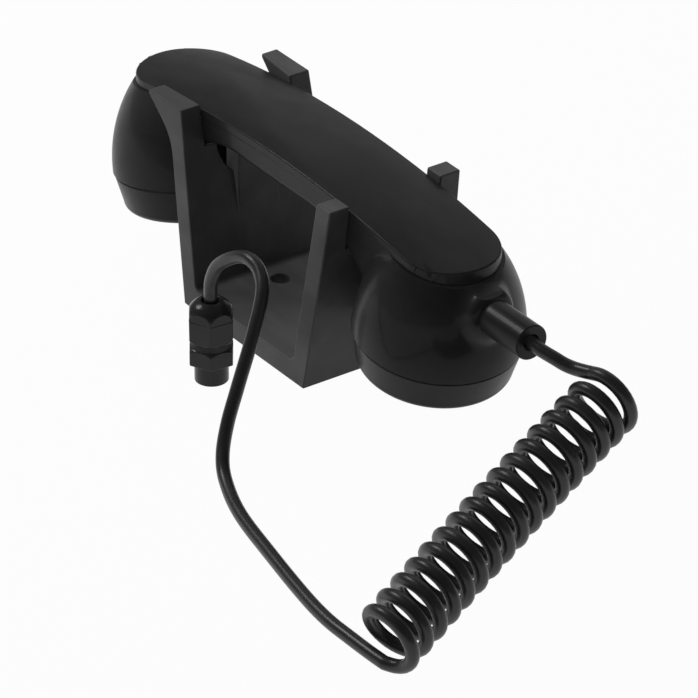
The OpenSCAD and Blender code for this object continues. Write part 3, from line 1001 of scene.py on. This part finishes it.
    def dress_inside(self) -> None:
        """Gives the seals and what is inside the shell their finishes."""
        finishes = {
            SEAL_BLACK: ("ear_seal", "mouth_seal"),
            CAPSULE_ALLOY: ("receiver_capsule", "microphone_capsule"),
            HOLDER_GREY: ("receiver_holder", "microphone_holder"),
            SOUND_CLOTH: ("ear_cloth", "mouth_cloth"),
            BOARD_GREEN: ("circuit_board",),
            REED_BLACK: ("reed_switch",),
        }
        for finish, nodes in finishes.items():
            material = finish.material()
            for node in nodes:
                dress(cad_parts[node], material)
                LOG.info("handset node %s: %s", node, finish.name)


# The cradle


@dataclass
class Cradle:
    """The pronged cradle with its hook magnet."""

    rounding: float = 0.6

    def build(self) -> None:
        """Builds, dresses and rides the cradle."""
        charcoal = CRADLE_CHARCOAL.material()
        body = rounded_copy("cradle", "pronged_cradle", self.rounding)
        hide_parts("cradle")
        dress(body, charcoal)
        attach(body, Body.CRADLE.value)
        dress(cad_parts["magnet_plug"], charcoal)
        dress(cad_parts["hook_magnet"], MAGNET_STEEL.material())
        LOG.info("cradle piece %s: %d faces", body.name, len(body.data.polygons))


# The cord and its gland


@dataclass
class CableGland:
    """The gland on the cord's far end."""

    rounding: float = 0.35
    pieces: list[bpy.types.Object] = field(default_factory=list)

    def build(self) -> None:
        """Builds and dresses the gland's pieces, and rides the two rounded copies."""
        nylon = GLAND_NYLON.material()
        for node, name in (("gland_body", "gland_lower_body"), ("gland_nut", "gland_cap_nut")):
            piece = rounded_copy(node, name, self.rounding)
            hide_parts(node)
            dress(piece, nylon)
            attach(piece, Body.CRADLE.value)
            self.pieces.append(piece)
            LOG.info("gland piece %s: %d faces", piece.name, len(piece.data.polygons))
        for node, finish in (("gland_ring_seal", SEAL_BLACK), ("gland_insert", INSERT_BLACK)):
            dress(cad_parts[node], finish.material())
            self.pieces.append(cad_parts[node])


@dataclass
class CurlyCord:
    """The cord from the boot through its curls to the gland, as one tube.

    All lengths are in millimetres and angles in degrees, and they repeat the values of the part's source.

    Attributes:
        early: The turn that the curls start at.
        lean: How far the curls lean over.
        swing: How far they stand askew to their heading.
        drop: Turns over which they come down from the lead to the floor.
        rest: Room between the cord and the floor.
        hang: How far the first curl's top is below the boot.
        way: How the drop moves each axis, for each millimetre of height.
        lead: Points from the boot's end to the curls.
        arch: Points from the gland's foot up and over.
        lying: Points where the tail comes to lie on the floor.
        last: Points before the last curl's end.
    """

    diameter: float = 4.8
    curl_d: float = 20.2
    pitch: float = 10.46
    early: float = -0.06
    turns: float = 16.5
    lean: float = 18.8
    swing: float = 14.5
    drop: float = 14.0
    rest: float = 0.05
    hang: float = 1.5
    way: Spot = (1.42, -1.0, 1.0)
    turn_steps: int = 32
    route_steps: int = 24
    sides: int = 20
    start: Pair = (116.6, 38.6)
    heading: float = -60.9
    boot_end: Spot = (126.8, 0.0, 50.8)
    boot_depths: Pair = (15.0, 8.0)
    lead: tuple[Spot, ...] = (
        (4.5, 0.5, -0.8), (10.2, 2.1, -1.9), (13.8, 3.6, -3.0), (17.2, 5.2, -3.5),
        (21.2, 6.4, -3.1),
    )
    gland: Spot = (12.5, -52.0, 0.0)
    gland_heights: tuple[float, ...] = (3.0, 12.0, 22.0, 31.5)
    arch: tuple[Spot, ...] = (
        (0.0, 0.0, 34.0), (0.9, -0.3, 39.2), (4.3, -0.4, 46.0), (9.2, 0.0, 50.9),
        (16.1, 0.8, 55.3), (23.0, 1.0, 57.2), (30.0, 0.2, 55.6), (36.5, -3.5, 51.0),
        (42.8, -12.0, 40.0), (48.0, -21.5, 26.5), (51.9, -28.4, 16.5), (57.2, -34.0, 8.6),
    )
    lying: tuple[Spot, ...] = ((78.0, -90.3, 1.5), (96.0, -96.7, 0.0), (123.0, -102.8, 0.0))
    last: tuple[Spot, ...] = (
        (-48.5, 1.4, 0.0), (-32.5, -0.7, 0.0), (-19.5, -0.9, 0.0), (-8.7, -0.8, 0.0),
    )

    def curl(self, turn: np.ndarray) -> tuple[np.ndarray, np.ndarray]:
        """Points and directions along the curls, which lean over and hang from the lead at first.

        Args:
            turn: Turns from the curls' start.

        Returns:
            The points and the unit directions.
        """
        ahead, square, tip = (math.radians(a) for a in (self.heading, self.heading - self.swing, self.lean))
        along = np.array([math.cos(ahead), math.sin(ahead), 0.0])
        level = np.array([-math.sin(square), math.cos(square), 0.0])
        out = math.sin(tip)
        rising = np.array([math.cos(square) * out, math.sin(square) * out, math.cos(tip)])
        r = self.curl_d / 2
        middle = np.array([*self.start, self.diameter / 2 + self.rest + r * math.cos(tip)])
        rise = self.boot_end[2] - self.hang - middle[2] - r * math.cos(tip)
        left = np.maximum(0.0, 1.0 - turn / self.drop)[:, None]
        c, s = np.cos(2 * np.pi * turn)[:, None], np.sin(2 * np.pi * turn)[:, None]
        spot = middle + along * self.pitch * turn[:, None] + np.array(self.way) * rise * left**2
        ways = along * self.pitch - np.array(self.way) * (2 * rise / self.drop) * left
        ways = ways + (level * c - rising * s) * math.pi * self.curl_d
        return spot + (rising * c + level * s) * r, ways / np.linalg.norm(ways, axis=1)[:, None]

    def smooth_route(self, stops: np.ndarray) -> np.ndarray:
        """A smooth line through points.

        Args:
            stops: The points.

        Returns:
            The line's points.
        """
        out = []
        share = (np.arange(self.route_steps) / self.route_steps)[:, None]
        last = len(stops) - 1
        for i in range(last):
            p, q, r, s = (stops[min(max(k, 0), last)] for k in (i - 1, i, i + 1, i + 2))
            bend = (2 * p - 5 * q + 4 * r - s) * share**2 + (3 * q - p - 3 * r + s) * share**3
            out.append(0.5 * (2 * q + (r - p) * share + bend))
        return np.concatenate(out + [stops[-1:]])

    def line(self) -> np.ndarray:
        """The whole centreline in millimetres, from inside the boot to inside the gland."""
        steps = int(round((self.turns - self.early) * self.turn_steps))
        curls, ways = self.curl(np.linspace(self.early, self.turns, steps + 1))
        splice = self.diameter / 4
        out, foot = np.array(self.boot_end), np.array(self.gland)
        first, final = curls[0] - splice * ways[0], curls[-1] + splice * ways[-1]
        lead_stops = np.vstack([out, out + self.lead, first - splice * ways[0]])
        low = np.array([0.0, 0.0, self.diameter / 2 + self.rest])
        end = final + splice * ways[-1]
        tail_stops = np.vstack([foot + self.arch, low + self.lying, final + self.last, end])
        seated = out - [(depth, 0.0, 0.0) for depth in self.boot_depths]
        lead = np.vstack([seated, self.smooth_route(lead_stops), first])
        inside = foot + [(0.0, 0.0, height) for height in self.gland_heights]
        tail = np.vstack([inside, self.smooth_route(tail_stops), final])
        return np.vstack([lead, curls, tail[::-1]])

    def tube(self, line: np.ndarray) -> tuple[np.ndarray, list[tuple[int, ...]]]:
        """A closed tube round a line.

        Args:
            line: The centreline in millimetres.

        Returns:
            The tube's points and faces.
        """
        ways = np.gradient(line, axis=0)
        ways /= np.linalg.norm(ways, axis=1)[:, None]
        side = np.cross(ways[0], (0.0, 0.0, 1.0))
        side /= np.linalg.norm(side)
        angles = 2 * np.pi * np.arange(self.sides)[:, None] / self.sides
        radius = self.diameter / 2
        rings = []
        for spot, way in zip(line, ways):
            side = side - way * (side @ way)
            side /= np.linalg.norm(side)
            other = np.cross(way, side)
            rings.append(spot + (np.cos(angles) * side + np.sin(angles) * other) * radius)
        count = self.sides
        final = (len(line) - 1) * count
        faces: list[tuple[int, ...]] = [tuple(range(count))[::-1], tuple(range(final, final + count))]
        for a in range(0, final, count):
            b = a + count
            for k in range(count):
                beside = (k + 1) % count
                faces.append((a + k, a + beside, b + beside, b + k))
        return np.concatenate(rings), faces

    def build(self, gland: CableGland) -> None:
        """Args:
            gland: The gland that it ends in. It is not used.
        """
        line = self.line()
        cord = new_piece("curly_cord", *self.tube(line))
        even_shading(cord, corner=50.0)
        dress(cord, CORD_BLACK.material())
        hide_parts("handset_lead", "cord_coil", "tail_lead")
        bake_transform(cord)


# The studio


@dataclass(frozen=True)
class SoftLamp:
    """A square soft lamp.

    Attributes:
        name: The lamp's name.
        place: Where it hangs, in metres.
        aim: The point that it faces.
        size: Its width in metres.
        watts: Its power.
        plain: Whether it lights evenly, with no shadow and no reflection of its own.
    """

    name: str
    place: Spot
    aim: Spot
    size: float
    watts: float
    plain: bool = False

    def build(self) -> None:
        """Hangs the lamp."""
        data = bpy.data.lights.new(self.name, "AREA")
        data.shape = "SQUARE"
        data.size = self.size
        data.energy = self.watts
        data.use_shadow = not self.plain
        lamp = bpy.data.objects.new(self.name, data)
        lamp.location = self.place
        lamp.visible_glossy = not self.plain
        facing = Vector(self.aim) - Vector(self.place)
        lamp.rotation_euler = facing.to_track_quat("-Z", "Y").to_euler()
        bpy.context.scene.collection.objects.link(lamp)


@dataclass
class Studio:
    """Floor, world, lamps and the camera at the photograph's angle.

    Angles are in degrees and lengths in metres, apart from the sensor and the lens, which are in
    millimetres. The lens comes from a focal length in pixels over the photograph's width. Dimming
    holds the heights that the surround goes from its horizon to its zenith between.
    """

    azimuth: float = 54.9386
    elevation: float = 29.9235
    distance: float = 2.203758
    aim: Spot = (-0.0274178, 0.0339966, -0.0354637)
    sensor: float = 36.0
    lens: float = 6115.187 / 698.0 * sensor
    horizon: float = 0.20
    zenith: float = 0.12
    dimming: Pair = (0.05, 0.75)
    floor_reach: float = 30.0
    floor_drop: float = 0.0002
    floor_colour: float = 0.62
    floor_white: float = 0.96
    lamps: tuple[SoftLamp, ...] = (
        SoftLamp("key", (-1.25, -0.6, 1.45), (0.02, -0.02, 0.03), size=0.6, watts=10.0),
        SoftLamp("fill", (-1.25, -0.6, 1.45), (0.02, -0.02, 0.03), size=1.0, watts=27.0, plain=True),
        SoftLamp("back", (-1.0, 1.3, 1.1), (0.0, 0.0, 0.05), size=1.5, watts=3.0),
        SoftLamp("side", (1.5, 0.7, 1.0), (0.05, 0.0, 0.03), size=0.9, watts=0.4),
    )

    def build_floor(self) -> None:
        """Lays the pale floor, which keeps the shadow."""
        reach = self.floor_reach
        data = bpy.data.meshes.new("floor")
        corners = [(-reach, -reach, 0), (reach, -reach, 0), (reach, reach, 0), (-reach, reach, 0)]
        data.from_pydata(corners, [], [(0, 1, 2, 3)])
        floor = bpy.data.objects.new("floor", data)
        floor.location.z = -self.floor_drop
        bpy.context.scene.collection.objects.link(floor)
        material, sheet = new_material("pale_floor")
        kinds = ("Is Camera Ray", "Is Glossy Ray", "Is Transmission Ray")
        rays = [sheet.node("ShaderNodeLightPath", output=kind) for kind in kinds]
        seen = self.any_of(rays) * self.floor_white
        pale = (self.floor_colour, self.floor_colour, self.floor_colour, 1.0)
        matt = sheet.node("ShaderNodeBsdfDiffuse", {}, {"Color": pale})
        glow = sheet.node("ShaderNodeEmission", {}, {"Color": WHITE, "Strength": 1.0})
        both = sheet.node("ShaderNodeMixShader", {}, {0: seen, 1: matt, 2: glow})
        sheet.node("ShaderNodeOutputMaterial", {}, {"Surface": both})
        dress(floor, material)

    @staticmethod
    def any_of(rays: Sequence[Value]) -> Value:
        """One where any of the ray kinds is one."""
        none = 1.0 - rays[0]
        for ray in rays[1:]:
            none = none * (1.0 - ray)
        return 1.0 - none

    def build_world(self) -> None:
        """Sets a plain white surround that dims overhead."""
        world = bpy.data.worlds.new("surround")
        world.use_nodes = True
        bpy.context.scene.world = world
        sheet = ShaderSheet(world.node_tree)
        way = sheet.node("ShaderNodeTexCoord", output="Generated")
        height = sheet.node("ShaderNodeSeparateXYZ", {}, {0: way}, "Z")
        level = height.ramp(*self.dimming, self.horizon, self.zenith)
        sky = sheet.node("ShaderNodeBackground", {}, {"Color": WHITE, "Strength": level})
        sheet.node("ShaderNodeOutputWorld", {}, {"Surface": sky})

    def build_camera(self) -> None:
        """Puts the camera at the photograph's angle."""
        az, el = math.radians(self.azimuth), math.radians(self.elevation)
        back = Vector((math.cos(el) * math.sin(az), -math.cos(el) * math.cos(az), math.sin(el)))
        right = Vector((math.cos(az), math.sin(az), 0.0))
        up = back.cross(right)
        data = bpy.data.cameras.new("camera")
        data.sensor_width = self.sensor
        data.sensor_fit = "AUTO"
        data.lens = self.lens
        camera = bpy.data.objects.new("camera", data)
        turn = Matrix((right, up, back)).transposed().to_4x4()
        camera.matrix_world = Matrix.Translation(Vector(self.aim) + back * self.distance) @ turn
        bpy.context.scene.collection.objects.link(camera)
        bpy.context.scene.camera = camera

    def build(self) -> None:
        """Builds the whole studio."""
        self.build_camera()
        self.build_floor()
        self.build_world()
        for lamp in self.lamps:
            lamp.build()
        bpy.context.scene.view_settings.view_transform = "Standard"
        LOG.info("studio: %d lamps", len(self.lamps))


def main() -> None:
    """Builds every piece in order."""
    logging.basicConfig(level=logging.INFO, format="%(name)s: %(message)s")
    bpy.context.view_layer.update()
    Studio().build()
    gland = CableGland()
    gland.build()
    CurlyCord().build(gland)
    Cradle().build()
    handset = Handset()
    handset.build()
    handset.dress_inside()


if __name__ == "__main__":
    main()
